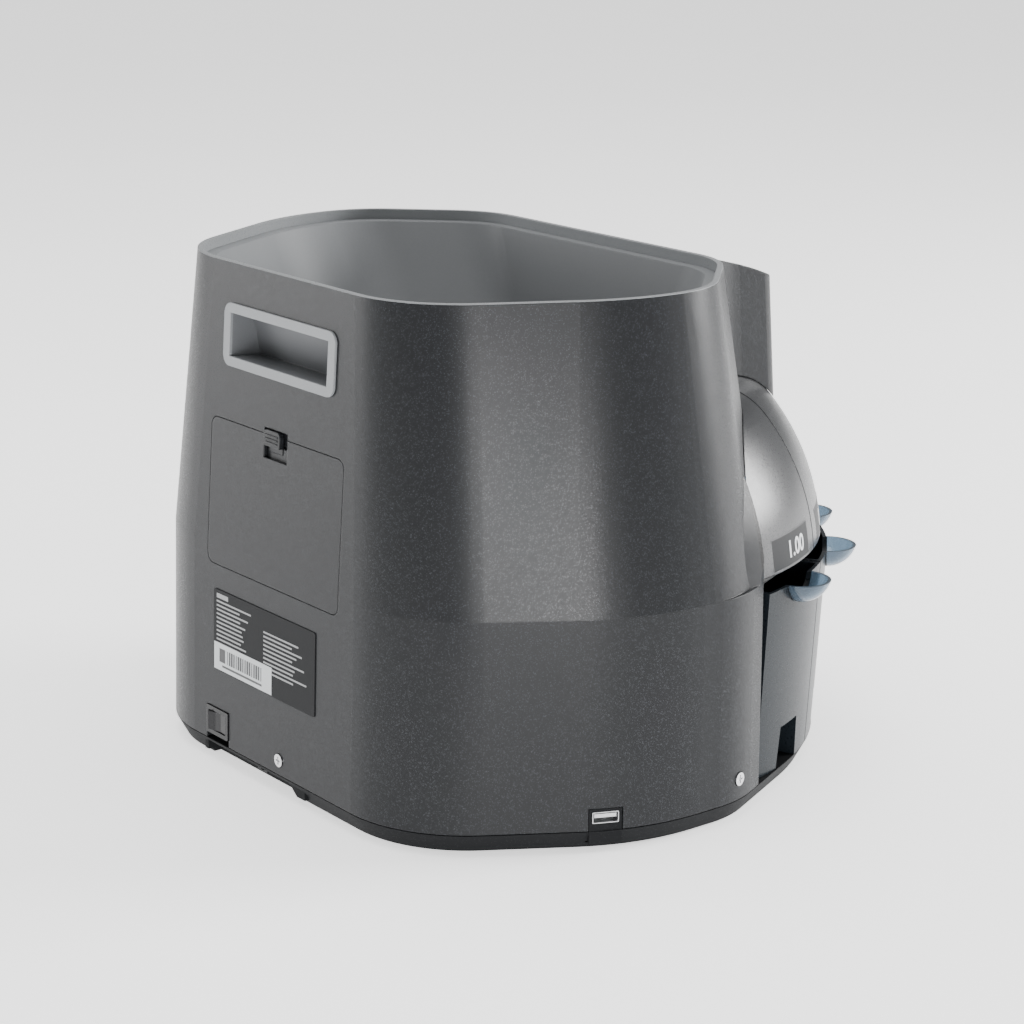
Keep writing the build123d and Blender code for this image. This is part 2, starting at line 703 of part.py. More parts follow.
with BuildPart() as coin_disc:
    add(band(0, disc_radius, disc_low, disc_low + disc_plate))
    for i in range(finger_count):
        add(rounded_block(upright(i * 360 / finger_count), finger_width, finger_top - disc_low, 0,
                          30.0, finger_reach, 0, (finger_top + disc_low) / 2))
    with BuildSketch(profile_plane(0)):
        with BuildLine():
            Polyline((0, disc_low), (hub_radius, disc_low), (hub_radius, disc_low + disc_plate + 1),
                     (4.0, hub_top), (0, hub_top), close=True)
        make_face()
    revolve(axis=disc_axis, revolution_arc=360)
    add(post(shaft_radius + 0.02, 0, disc_low + 12.0, 0, 0), mode=Mode.SUBTRACT)
save(coin_disc, "coin_disc")

pulley_low, pulley_top = 100.0, 110.0
with BuildPart() as disc_shaft:
    add(post(shaft_radius, pulley_low - 2, disc_low + 11.5, 0, 0))
save(disc_shaft, "disc_shaft")

with BuildPart() as disc_bearing:
    add(band(shaft_radius + running_fit, 11.0, pulley_top + 1.0, deck_height))
    add(band(shaft_radius + 3.0, 20.0, deck_height - 2.5, deck_height))
save(disc_bearing, "disc_bearing")

with BuildPart() as disc_pulley:
    add(band(shaft_radius + 0.02, 14.0, pulley_low, pulley_top))
    add(band(13.9, disc_pulley_radius - 4, pulley_low + 3, pulley_low + 6))
    add(band(disc_pulley_radius - 5, disc_pulley_radius, pulley_low, pulley_top))
    for i in range(5):
        spot = direction(72.0 * i) * 28.0
        add(post(7.5, 0, 200.0, spot.X, spot.Y), mode=Mode.SUBTRACT)
save(disc_pulley, "disc_pulley")

belt_low = pulley_low + (pulley_top - pulley_low - belt_height) / 2
with BuildPart() as drive_belt:
    for grow, fill in ((slip_gap + belt_thickness, Mode.ADD), (slip_gap, Mode.SUBTRACT)):
        with BuildSketch(level(belt_low)):
            Circle(disc_pulley_radius + grow)
            with Locations((0, motor_offset)):
                Circle(motor_pulley_radius + grow)
            make_hull()
        extrude(amount=belt_height, mode=fill)
save(drive_belt, "drive_belt")

motor_plate, motor_shaft_radius = 3.0, 2.5
motor_top = pulley_low - 2 - motor_plate
bracket_width, bracket_depth, bracket_leg = 68.0, 44.0, 3.0
motor_y = motor_offset
with BuildPart() as motor:
    add(post(motor_radius, motor_top - motor_length, motor_top, 0, motor_y))
    add(post(6.0, motor_top - motor_length - 3, motor_top - motor_length, 0, motor_y))
    add(tray_box(14.0, 8.0, motor_top - motor_length - 5, motor_top - motor_length, 0, motor_y - 12))
save(motor, "motor")

with BuildPart() as motor_shaft:
    add(post(motor_shaft_radius, motor_top + 0.1, pulley_top + 1, 0, motor_y))
save(motor_shaft, "motor_shaft")

with BuildPart() as motor_pulley:
    add(post(motor_pulley_radius, pulley_low, pulley_top, 0, motor_y))
    add(post(motor_shaft_radius + 0.02, 0, 200.0, 0, motor_y), mode=Mode.SUBTRACT)
save(motor_pulley, "motor_pulley")

with BuildPart() as motor_bracket:
    add(tray_box(bracket_width, bracket_depth, motor_top, motor_top + motor_plate, 0, motor_y))
    for side in (-1, 1):
        leg_x = side * (bracket_width - bracket_leg) / 2
        add(tray_box(bracket_leg, bracket_depth, tray_floor, motor_top, leg_x, motor_y))
        add(tray_box(14.0, bracket_depth, tray_floor, tray_floor + 3, leg_x + side * 5.0, motor_y))
    add(post(motor_shaft_radius + 1.5, 0, 200.0, 0, motor_y), mode=Mode.SUBTRACT)
save(motor_bracket, "motor_bracket")

with BuildPart() as coin_sensor:
    add(band(139.0, 150.0, deck_top, deck_top + 4, 113.0, 122.0))
    add(band(118.0, 150.0, deck_top + 12, deck_top + 22, 114.0, 121.0))
    add(band(144.0, 149.0, deck_top + 3.9, deck_top + 12.1, 114.0, 121.0))
    add(deck_keep, mode=Mode.INTERSECT)
save(coin_sensor, "coin_sensor")

# electronics on the base
with BuildPart() as main_board:
    add(tray_box(board_width, board_depth, board_height, board_height + 1.6, board_x, board_y))
    for x, y, w, d, h in ((-12.0, 6.0, 18.0, 18.0, 2.4), (16.0, 12.0, 10.0, 10.0, 1.8),
                          (30.0, -8.0, 8.0, 26.0, 9.0), (-30.0, -8.0, 8.0, 26.0, 9.0)):
        low = board_height + 1.5
        add(tray_box(w, d, low, low + h, board_x + x, board_y + y))
    for x in (-14.0, 0.0, 14.0):
        add(post(4.5, board_height + 1.5, board_height + 14.0, board_x + x, board_y - 17))
save(main_board, "main_board")

with BuildPart() as power_supply:
    add(tray_box(76.0, 56.0, tray_floor, tray_floor + 30.0, -board_x, board_y))
    for i in range(7):
        add(tray_box(2.5, 36.0, tray_floor + 28.0, tray_floor + 31.0, -board_x - 27 + 9 * i, board_y),
            mode=Mode.SUBTRACT)
save(power_supply, "power_supply")

jack_face = recess_back + 0.5
jack_bore, jack_pin = 2.9, 1.0
jack_height = (jack_low + jack_top) / 2
jack_plane = Plane(origin=(jack_x, axis_y + jack_face, jack_height), x_dir=(-1, 0, 0), z_dir=(0, 1, 0))
with BuildPart() as power_jack:
    add(rounded_block(jack_plane, jack_width, jack_top - jack_low, 0.8, -jack_length, 0))
    add(rod(jack_plane, jack_bore, -10.0, 1.0), mode=Mode.SUBTRACT)
    add(rod(jack_plane, jack_pin, -11.0, -0.8))
save(power_jack, "power_jack")

with BuildPart() as usb_socket:
    add(rounded_block(usb_plane, usb_width, usb_height, 0.5, -14.0, 0.2))
    add(rounded_block(usb_plane, usb_width - 0.8, usb_height - 0.8, 0.3, -12.5, 1.0), mode=Mode.SUBTRACT)
    add(rounded_block(usb_plane, usb_width - 2.2, 1.9, 0, -13.0, -0.6, 0, 0.7))
save(usb_socket, "usb_socket")

# rocker switch beside the hatch
rocker_window = rocker_width + 2 * rocker_sweep
pivot_depth, rocker_pocket = -3.0, -7.0
with BuildPart() as switch_body:
    add(rounded_block(switch_plane, switch_width, switch_height, 0.8, -11.0, 0.6, switch_x))
    add(rounded_block(switch_plane, rocker_window, rocker_height + 2 * slip_gap, 0.3, rocker_pocket, 2.0,
                      switch_x), mode=Mode.SUBTRACT)
save(switch_body, "switch_body")

rocker_origin = switch_plane.origin + switch_plane.x_dir * switch_x + switch_plane.z_dir * pivot_depth
rocker_plane = Plane(origin=rocker_origin, x_dir=switch_plane.x_dir, z_dir=switch_plane.y_dir * -1)
half = rocker_width / 2
with BuildPart() as power_rocker:
    with BuildSketch(rocker_plane.rotated((0, 0, rocker_tilt)).offset(-rocker_height / 2)):
        with BuildLine():
            Polyline((-half, 4.2), (-half * 0.3, 3.2), (half * 0.3, 3.2), (half, 4.2),
                     (half * 0.75, -1.2), (-half * 0.75, -1.2), close=True)
        make_face()
    extrude(amount=rocker_height)
save(power_rocker, "power_rocker")

# carrying handle
handle_side = Plane(origin=handle_plane.origin, x_dir=handle_plane.y_dir, z_dir=handle_plane.x_dir)
handle_solids = []
for grow, out in ((0, 3.0), (handle_wall, 0.2)):
    high = handle_pocket_height / 2 + grow
    wide = handle_pocket_width + 2 * grow
    with BuildPart() as handle_solid:
        with BuildSketch(handle_side.offset(-wide / 2)):
            with BuildLine():
                Polyline((-high, out), (high, out), (high, -handle_pocket_top - grow),
                         (-high, -handle_pocket_foot - grow), close=True)
            make_face()
        extrude(amount=wide)
    handle_solids.append(handle_solid.part)
with BuildPart() as rear_handle:
    add(rounded_block(handle_plane, handle_width, handle_height, 6.0, 0, 1.2))
    add(handle_solids[1])
    add(handle_solids[0], mode=Mode.SUBTRACT)
save(rear_handle, "rear_handle")

# service hatch and its sprung latch
notch_low = hatch_height / 2 - latch_notch_drop
hatch_block = rounded_block(hatch_plane, hatch_width, hatch_height, 5.0, -20.0, 10.0)
latch_notch = rounded_block(hatch_plane, latch_notch_width, 2 * latch_notch_drop, 0, -20.0, 10.0,
                            0, hatch_height / 2)
with BuildPart() as access_hatch:
    add(hatch_block)
    add(rear_skin(hatch_wall), mode=Mode.INTERSECT)
    add(latch_notch, mode=Mode.SUBTRACT)
save(access_hatch, "access_hatch")

latch_x = slip_gap + (latch_width - latch_notch_width) / 2
tab_low, tab_top = notch_low + 6.5, hatch_height / 2 + latch_notch_rise - 0.6
stem_low, stem_top = notch_low + latch_drop + slip_gap, hatch_hole_height / 2 - slip_gap
nose_top = hatch_hole_height / 2 + latch_nose
back = -hatch_wall - slip_gap
with BuildPart() as hatch_latch:
    with BuildSketch(hatch_plane.offset(-hatch_wall)):
        with BuildLine():
            left, right = latch_x - latch_width / 2, latch_x + latch_width / 2
            FilletPolyline((left, tab_low), (right, tab_low), (right, tab_top), (left, tab_top),
                           radius=[0.6, 0.6, 3.0, 3.0], close=True)
        make_face()
    extrude(amount=hatch_wall + 0.9)
    add(rounded_block(hatch_plane, latch_width - 2, stem_top - stem_low, 0, back - 1.0, 0.1 - hatch_wall,
                      latch_x, (stem_top + stem_low) / 2))
    add(rounded_block(hatch_plane, latch_notch_width + 5, 15.0, 0, back - 1.6, back,
                      0, hatch_hole_height / 2 - 9.0))
    add(rounded_block(hatch_plane, latch_width, 16.0, 0, back - 2.6, back - 1.3, latch_x, nose_top - 8.0))
    for i in range(3):
        add(rounded_block(hatch_plane, latch_width - 4, 0.7, 0, 0.8, 1.3, latch_x, tab_low + 2.0 + 1.8 * i))
save(hatch_latch, "hatch_latch")

with BuildPart() as rating_plate:
    add(rounded_block(plate_plane, plate_width, plate_height, 1.5, 0, plate_thickness, plate_x))
save(rating_plate, "rating_plate")

# control panel in front of the hopper
key_spots = [(key_first_x + key_column_pitch * i, side * key_row_pitch / 2)
             for side in (1, -1) for i in range(4)]
with BuildPart() as control_panel:
    add(rounded_block(panel_plane, panel_width, panel_height, 5.0, 0, panel_thickness))
    add(rounded_block(panel_plane, display_width + 0.2, display_height + 0.2, 1.5, -1.0, 5.0,
                      display_x, display_y), mode=Mode.SUBTRACT)
    for x, y in key_spots:
        add(rounded_block(panel_plane, key_width + 2 * slip_gap, key_height + 2 * slip_gap, 1.8,
                          -1.0, 5.0, x, y), mode=Mode.SUBTRACT)
    add(rod(panel_plane, start_key_radius + slip_gap, -1.0, 5.0, start_key_x), mode=Mode.SUBTRACT)
save(control_panel, "control_panel")

with BuildPart() as display_lens:
    add(rounded_block(panel_plane, display_width, display_height, 1.4, 0.4, 1.7, display_x, display_y))
save(display_lens, "display_lens")

with BuildPart() as display_module:
    add(rounded_block(panel_plane, display_width + 4, display_height + 6, 1.0, -8.0, -0.4,
                      display_x, display_y))
    add(rounded_block(panel_plane, display_width - 4, display_height - 4, 1.0, -0.5, 0.3,
                      display_x, display_y))
save(display_module, "display_module")

flange, flange_low = 1.0, -1.8
board_face, board_thickness, dome_height = -4.6, 1.6, 0.9
key_board_width, key_board_height, key_board_x = 76.0, 34.0, 28.0
with BuildPart() as keypad_board:
    add(rounded_block(panel_plane, key_board_width, key_board_height, 1.0,
                      board_face - board_thickness, board_face, key_board_x))
    for x, y in key_spots + [(start_key_x, 0)]:
        add(rod(panel_plane, 3.0, board_face - 0.1, board_face + dome_height, x, y))
save(keypad_board, "keypad_board")

for number, (x, y) in enumerate(key_spots, 1):
    with BuildPart() as key:
        add(rounded_block(panel_plane, key_width, key_height, 1.5, -0.5, panel_thickness + key_proud, x, y))
        add(rounded_block(panel_plane, key_width + 2 * flange, key_height + 2 * flange, 1.5,
                          flange_low, -slip_gap, x, y))
    save(key, "key_" + str(number))
with BuildPart() as start_key:
    add(rod(panel_plane, start_key_radius, -0.5, panel_thickness + key_proud, start_key_x))
    add(rod(panel_plane, start_key_radius + flange, flange_low, -slip_gap, start_key_x))
save(start_key, "start_key")
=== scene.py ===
import math

import bpy
from mathutils import Matrix, Vector


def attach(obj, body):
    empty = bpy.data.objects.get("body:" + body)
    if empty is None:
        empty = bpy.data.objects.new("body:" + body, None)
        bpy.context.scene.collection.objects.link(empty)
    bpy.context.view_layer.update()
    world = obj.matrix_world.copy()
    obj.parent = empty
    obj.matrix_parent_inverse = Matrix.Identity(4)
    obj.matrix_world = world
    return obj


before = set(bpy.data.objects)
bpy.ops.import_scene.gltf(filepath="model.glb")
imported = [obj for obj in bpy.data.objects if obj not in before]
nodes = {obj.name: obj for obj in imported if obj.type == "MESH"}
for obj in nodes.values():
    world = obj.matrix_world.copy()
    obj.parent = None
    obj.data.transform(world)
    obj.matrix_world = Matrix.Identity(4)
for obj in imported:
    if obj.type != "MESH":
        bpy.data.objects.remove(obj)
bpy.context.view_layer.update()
print("frame loaded:", len(nodes), "nodes")

# the camera stands behind the machine's right side, where the photographer stood
camera = {"place": (-1.057, 0.821, 0.493), "pitchDown": 15.62, "heading": -127.44, "lens": 91.4, "sensor": 36.0}
turned = (math.radians(90 - camera["pitchDown"]), 0, math.radians(camera["heading"]))
bpy.ops.object.camera_add(location=camera["place"], rotation=turned)
viewCamera = bpy.context.object
viewCamera.name = "viewCamera"
viewCamera.data.lens = camera["lens"]
viewCamera.data.sensor_width = camera["sensor"]
bpy.context.scene.camera = viewCamera


class Wire:
    # one socket; sums, products and comparisons of wires add Math nodes
    def __init__(self, finish, socket):
        self.finish = finish
        self.socket = socket

    def math(self, operation, a, b):
        return self.finish.node("Math", {"operation": operation}, {0: a, 1: b})[0]

    def __add__(self, other):
        return self.math("ADD", self, other)

    def __radd__(self, other):
        return self.math("ADD", other, self)

    def __sub__(self, other):
        return self.math("SUBTRACT", self, other)

    def __rsub__(self, other):
        return self.math("SUBTRACT", other, self)

    def __mul__(self, other):
        return self.math("MULTIPLY", self, other)

    def __rmul__(self, other):
        return self.math("MULTIPLY", other, self)

    def __pow__(self, other):
        return self.math("POWER", self, other)

    def __gt__(self, other):
        return self.math("GREATER_THAN", self, other)

    def __lt__(self, other):
        return self.math("LESS_THAN", self, other)

    def above(self, other):
        return self.math("MAXIMUM", self, other)

    def below(self, other):
        return self.math("MINIMUM", self, other)


class Finish:
    # one material, its nodes made by a single method
    def __init__(self, name):
        self.material = bpy.data.materials.new(name)
        self.material.use_nodes = True
        self.tree = self.material.node_tree
        self.shader = self.tree.nodes["Principled BSDF"]
        self.place = self.node("TexCoord")["Object"]

    def node(self, kind, settings=None, sockets=None):
        made = self.tree.nodes.new("ShaderNode" + kind)
        for key, value in (settings or {}).items():
            setattr(made, key, value)
        for key, value in (sockets or {}).items():
            if isinstance(value, Wire):
                self.tree.links.new(value.socket, made.inputs[key])
            else:
                made.inputs[key].default_value = value
        return {key: Wire(self, s) for i, s in enumerate(made.outputs) for key in (i, s.name)}

    def mix(self, a, b, factor):
        return self.node("Mix", {"data_type": "RGBA"}, {0: factor, 6: a, 7: b})[2]

    def noise(self, scale, detail=2.0, roughness=0.5, place=None):
        sockets = {"Vector": place or self.place, "Scale": scale, "Detail": detail, "Roughness": roughness}
        return self.node("TexNoise", {}, sockets)[0]

    def axes(self, vector=None):
        return self.node("SeparateXYZ", {}, {0: vector or self.place})

    def bump(self, height, depth, strength):
        return self.node("Bump", {}, {"Strength": strength, "Distance": depth, "Height": height})[0]

    def softBump(self, height, depth, strength, radius):
        # grain over edges that look rounded by the radius
        edges = self.node("Bevel", {"samples": 4}, {"Radius": radius})[0]
        sockets = {"Strength": strength, "Distance": depth, "Height": height, "Normal": edges}
        return self.node("Bump", {}, sockets)[0]

    def set(self, **values):
        names = {"colour": "Base Color", "rough": "Roughness", "metal": "Metallic", "normal": "Normal",
                 "ior": "IOR", "through": "Transmission Weight", "specular": "Specular IOR Level",
                 "glow": "Emission Color", "glowPower": "Emission Strength"}
        for key, value in values.items():
            socket = self.shader.inputs[names[key]]
            if isinstance(value, Wire):
                self.tree.links.new(value.socket, socket)
            else:
                socket.default_value = value
        return self.material


def shade(value):
    # colour with full alpha
    return (value[0], value[1], value[2], 1.0)


# measures of the machine that the pieces below share, in metres, from the disc axis where a plan is meant
machine = {"axisY": 0.01605, "height": 0.264, "crease": 0.117, "seam": 0.0114, "creaseRear": 0.147, "rimRear": 0.136,
           "bodyRear": 0.151, "domeAt": 0.04775, "domeHeight": 0.10971, "domeRadius": 0.11845, "swell": 0.0058,
           "binTop": 0.17, "binHeight": 0.11, "binPitch": 22.2, "binCount": 7}


def rearLean(height):
    if height > machine["crease"]:
        return (machine["creaseRear"] - machine["rimRear"]) / (machine["height"] - machine["crease"])
    return (machine["bodyRear"] - machine["creaseRear"]) / (machine["crease"] - machine["seam"])


def rearPoint(height):
    reach = machine["creaseRear"] - rearLean(height) * (height - machine["crease"])
    return Vector((0, machine["axisY"] + reach, height))


def rearWays(height):
    # up the rear face and out of it
    lean = rearLean(height)
    up = Vector((0, -lean, 1)).normalized()
    return up, Vector((0, 1, lean)).normalized()


def seat(point, across, up, out):
    # matrix of a flat place: x across it, y up it and z out of it
    return Matrix.Translation(point) @ Matrix((across, up, out)).transposed().to_4x4()


# charcoal moulding: fine spark-eroded grain with small grains that catch the light
spark = {"slowScale": 6.0, "grainRough": 0.65, "cellScale": 0.8, "slowShare": 0.3, "grainShare": 0.7, "toneDrop": 0.1,
         "grainSpread": 0.14, "slowSpread": 0.05, "glintGloss": 0.1, "leastRough": 0.12}
joint = {"colour": (0.002, 0.002, 0.002), "leastRadius": 0.1, "rimDepth": 0.0003}


def sparkTexture(name, look):
    f = Finish(name)
    slow = f.noise(spark["slowScale"], 3.0)
    grain = f.noise(look["grain"], 2.0, spark["grainRough"])
    cells = f.node("TexVoronoi", {}, {"Vector": f.place, "Scale": look["grain"] * spark["cellScale"]})["Color"]
    chance = f.node("SeparateColor", {}, {0: cells})[0]
    flake = chance > look["flakeFrom"]
    tone = (slow * spark["slowShare"] + grain * spark["grainShare"] - spark["toneDrop"]).above(0.0).below(1.0)
    base = f.mix(shade(look["dark"]), shade(look["light"]), tone)
    colour = f.mix(base, shade(look["flake"]), flake * look["flakeShare"])
    axes = f.axes()
    forward = axes["Y"] - machine["axisY"]
    if "seamFrom" in look:
        # shadow line in the joint between the cover and the case
        turn = f.node("Math", {"operation": "ARCTAN2"}, {0: axes["X"], 1: forward * -1.0})[0]
        around = f.node("Math", {"operation": "ABSOLUTE"}, {0: turn})[0]
        radius = (axes["X"] ** 2.0 + forward ** 2.0) ** 0.5
        seam = (around > math.radians(look["seamFrom"])) * (around < math.radians(look["seamTo"]))
        reach = ((radius - machine["domeAt"]) ** 2.0 + (axes["Z"] - machine["domeHeight"]) ** 2.0) ** 0.5
        onDome = (reach < machine["domeRadius"] + machine["swell"]) * (radius > joint["leastRadius"])
        seam = seam * (axes["Z"] > machine["crease"]) * onDome
        colour = f.mix(colour, shade(joint["colour"]), seam)
    if "lip" in look:
        # painted highlight: the walls that face the hopper, smooth, and the rim's top are painted paler where they
        # catch the light
        ways = f.axes(f.node("NewGeometry")["True Normal"])
        inward = (ways["X"] * axes["X"] + ways["Y"] * (axes["Y"] - look["lipY"])) < 0.0
        rimTop = axes["Z"] > machine["height"] - joint["rimDepth"]
        paintedHighlight = (inward * (axes["Z"] > look["lipFrom"])).above(rimTop)
        colour = f.mix(colour, shade(look["lip"]), paintedHighlight)
    spread = (grain - 0.5) * spark["grainSpread"] + (slow - 0.5) * spark["slowSpread"]
    rough = (look["rough"] + spread - flake * spark["glintGloss"]).above(spark["leastRough"])
    normal = f.softBump(grain, look["depth"], look["bump"], look["round"])
    return f.set(colour=colour, rough=rough, normal=normal, specular=look["specular"])


# plain moulded plastic with faint flow marks; a look may say its own grain, edge radius, bump or specular
moulding = {"slowScale": 12.0, "grain": 900.0, "slowShare": 0.6, "fineShare": 0.4, "fineSpread": 0.12,
            "slowSpread": 0.08, "round": 0.0004, "bump": 0.4, "depth": 0.00003, "specular": 0.5}


def smoothPlastic(name, own):
    look = {**moulding, **own}
    f = Finish(name)
    slow = f.noise(look["slowScale"], 4.0)
    fine = f.noise(look["grain"])
    tone = (slow * look["slowShare"] + fine * look["fineShare"]).below(1.0)
    colour = f.mix(shade(look["dark"]), shade(look["light"]), tone)
    rough = look["rough"] + (fine - 0.5) * look["fineSpread"] + (slow - 0.5) * look["slowSpread"]
    normal = f.softBump(fine, look["depth"], look["bump"], look["round"])
    return f.set(colour=colour, rough=rough, normal=normal, specular=look["specular"])


# smoky plastic: nearly solid in the bin's walls, clear and bluish in the scoop that stands out past its front; the
# scoop's paler blue is partly painted light, standing in for light through its thin plastic
smoke = {"wallDark": (0.007, 0.0095, 0.012), "wallLight": (0.013, 0.017, 0.021), "litScoopDark": (0.11, 0.17, 0.24),
         "litScoopLight": (0.17, 0.25, 0.33), "wallThrough": 0.1, "scoopThrough": 0.75, "rough": 0.28,
         "scoopRough": 0.09, "spread": 0.06, "wallShine": 0.12, "ior": 1.5, "slowScale": 16.0, "fineScale": 700.0,
         "depth": 0.00002, "bump": 0.25, "clearance": 0.0003, "scoopDeep": 0.0125}


def smokedPlastic(name):
    f = Finish(name)
    slow = f.noise(smoke["slowScale"], 3.0)
    fine = f.noise(smoke["fineScale"])
    axes = f.axes()
    forward = axes["Y"] - machine["axisY"]
    radius = (axes["X"] ** 2.0 + forward ** 2.0) ** 0.5
    scoopBottom = machine["binHeight"] - smoke["scoopDeep"]
    scoop = (radius > machine["binTop"] + smoke["clearance"]) * (axes["Z"] > scoopBottom)
    normal = f.bump(fine, smoke["depth"], smoke["bump"])
    f.set(colour=f.mix(shade(smoke["wallDark"]), shade(smoke["wallLight"]), slow), through=smoke["wallThrough"],
          rough=smoke["rough"] + (fine - 0.5) * smoke["spread"], ior=smoke["ior"], normal=normal,
          specular=smoke["wallShine"])
    # partly painted light: the scoop's clearer plastic is real, its paler blue stands in for light through the thin
    # plastic
    clear = f.node("BsdfPrincipled", {}, {
        "Base Color": f.mix(shade(smoke["litScoopDark"]), shade(smoke["litScoopLight"]), slow),
        "Roughness": smoke["scoopRough"] + fine * smoke["spread"], "IOR": smoke["ior"],
        "Transmission Weight": smoke["scoopThrough"], "Normal": normal})[0]
    wall = Wire(f, f.shader.outputs[0])
    both = f.node("MixShader", {}, {0: scoop, 1: wall, 2: clear})[0]
    f.tree.links.new(both.socket, f.tree.nodes["Material Output"].inputs["Surface"])
    return f.material


# tinted window in front of the display
window = {"dark": (0.1, 0.14, 0.16), "light": (0.13, 0.18, 0.2), "grain": 500.0, "through": 0.85, "ior": 1.45,
          "rough": 0.06, "spread": 0.04}


def tintedWindow(name):
    f = Finish(name)
    fine = f.noise(window["grain"])
    colour = f.mix(shade(window["dark"]), shade(window["light"]), fine)
    rough = window["rough"] + fine * window["spread"]
    return f.set(colour=colour, through=window["through"], ior=window["ior"], rough=rough)


# brushed or plated metal, its streaks drawn out across x
metal = {"brush": (30.0, 1.0, 1.0), "streakScale": 260.0, "streakRough": 0.6, "slowScale": 25.0, "streakShare": 0.7,
         "slowShare": 0.3, "spread": 0.2, "depth": 0.00002, "bump": 0.3}


def brushedMetal(name, look):
    f = Finish(name)
    grainPlace = f.node("Mapping", {}, {"Vector": f.place, "Scale": metal["brush"]})[0]
    streaks = f.noise(metal["streakScale"], 3.0, metal["streakRough"], grainPlace)
    slow = f.noise(metal["slowScale"], 3.0)
    tone = (streaks * metal["streakShare"] + slow * metal["slowShare"]).below(1.0)
    colour = f.mix(shade(look["dark"]), shade(look["light"]), tone)
    rough = look["rough"] + (streaks - 0.5) * metal["spread"]
    return f.set(colour=colour, rough=rough, metal=1.0, normal=f.bump(streaks, metal["depth"], metal["bump"]))


# green laminate with faint tracks, and dark components above a height
laminate = {"dark": (0.01, 0.09, 0.045), "light": (0.012, 0.1, 0.05), "track": (0.04, 0.22, 0.12), "scale": 180.0,
            "line": 0.03, "offset": 0.4, "component": (0.02, 0.02, 0.022), "grain": 600.0, "rough": 0.38,
            "spread": 0.15, "depth": 0.00003, "bump": 0.4}


def circuitBoard(name, top):
    f = Finish(name)
    tracks = f.node("TexBrick", {"offset": laminate["offset"]}, {
        "Vector": f.place, "Scale": laminate["scale"], "Mortar Size": laminate["line"],
        "Color1": shade(laminate["dark"]), "Color2": shade(laminate["light"]), "Mortar": shade(laminate["track"])})[0]
    fine = f.noise(laminate["grain"])
    colour = f.mix(tracks, shade(laminate["component"]), f.axes()["Z"] > top)
    rough = laminate["rough"] + (fine - 0.5) * laminate["spread"]
    return f.set(colour=colour, rough=rough, normal=f.bump(fine, laminate["depth"], laminate["bump"]))


# light grey frame of the handle, and its pocket behind the rear face painted a darker grey as painted shade of the
# recess
handle = {"at": machine["height"] - 0.036, "frameDark": (0.2, 0.208, 0.218), "frameLight": (0.25, 0.26, 0.27),
          "pocketShadeDark": (0.09, 0.094, 0.1), "pocketShadeLight": (0.14, 0.146, 0.154), "inset": 0.0002, "grain": 1400.0,
          "slowScale": 9.0, "rough": 0.5, "spread": 0.14, "depth": 0.00004, "bump": 0.35, "round": 0.0006}


def handlePlastic(name):
    f = Finish(name)
    fine = f.noise(handle["grain"])
    slow = f.noise(handle["slowScale"], 3.0)
    axes = f.axes()
    out = rearWays(handle["at"])[1]
    start = rearPoint(handle["at"])
    depth = (axes["Y"] - start[1]) * out[1] + (axes["Z"] - start[2]) * out[2]
    frameTone = f.mix(shade(handle["frameDark"]), shade(handle["frameLight"]), fine)
    pocketShade = f.mix(shade(handle["pocketShadeDark"]), shade(handle["pocketShadeLight"]), (slow + fine) * 0.5)
    # painted shade: the pocket, set in past the frame, is painted darker
    colour = f.mix(pocketShade, frameTone, depth > -handle["inset"])
    rough = handle["rough"] + (fine - 0.5) * handle["spread"]
    normal = f.softBump(fine, handle["depth"], handle["bump"], handle["round"])
    return f.set(colour=colour, rough=rough, normal=normal)


# printed marks and glowing digits
ink = {"grain": 1800.0, "rough": 0.5, "spread": 0.2}


def printedInk(name, dark, light, glow=None):
    f = Finish(name)
    fine = f.noise(ink["grain"])
    colour = f.mix(shade(dark), shade(light), fine)
    f.set(colour=colour, rough=ink["rough"] + (fine - 0.5) * ink["spread"])
    if glow:
        f.set(glow=colour, glowPower=glow)
    return f.material


# the case's pale lip colour is a painted highlight on the rim's top and the hopper-facing walls
caseMaterial = sparkTexture("caseCharcoal", {
    "grain": 3000.0, "depth": 0.00006, "bump": 0.32, "round": 0.0009, "rough": 0.36, "specular": 0.22,
    "dark": (0.006, 0.0065, 0.0075), "light": (0.016, 0.0172, 0.019), "flake": (0.06, 0.064, 0.072),
    "flakeFrom": 0.88, "flakeShare": 0.45, "lip": (0.27, 0.28, 0.288), "lipY": 0.02, "lipFrom": 0.2,
    "seamFrom": 78.5, "seamTo": 79.9})
coverMaterial = sparkTexture("coverCharcoal", {
    "grain": 3000.0, "depth": 0.00005, "bump": 0.25, "round": 0.0006, "rough": 0.3, "specular": 0.55,
    "dark": (0.012, 0.0127, 0.014), "light": (0.024, 0.0255, 0.028), "flake": (0.06, 0.063, 0.07),
    "flakeFrom": 0.9, "flakeShare": 0.4, "seamFrom": 78.2, "seamTo": 80.0})
baseMaterial = sparkTexture("baseCharcoal", {
    "grain": 3000.0, "depth": 0.00004, "bump": 0.25, "round": 0.0006, "rough": 0.6, "specular": 0.08,
    "dark": (0.006, 0.0063, 0.007), "light": (0.013, 0.0138, 0.015), "flake": (0.03, 0.031, 0.034),
    "flakeFrom": 0.95, "flakeShare": 0.3})
bowlMaterial = smoothPlastic("bowlPlastic", {"dark": (0.16, 0.167, 0.173), "light": (0.21, 0.218, 0.226),
                                             "rough": 0.42, "round": 0.001})
innerMaterial = smoothPlastic("innerPlastic", {"dark": (0.02, 0.0207, 0.022), "light": (0.034, 0.0355, 0.0375),
                                               "rough": 0.5})
blackMaterial = smoothPlastic("glossBlack", {"dark": (0.006, 0.006, 0.007), "light": (0.016, 0.016, 0.018),
                                             "rough": 0.25, "specular": 0.3})
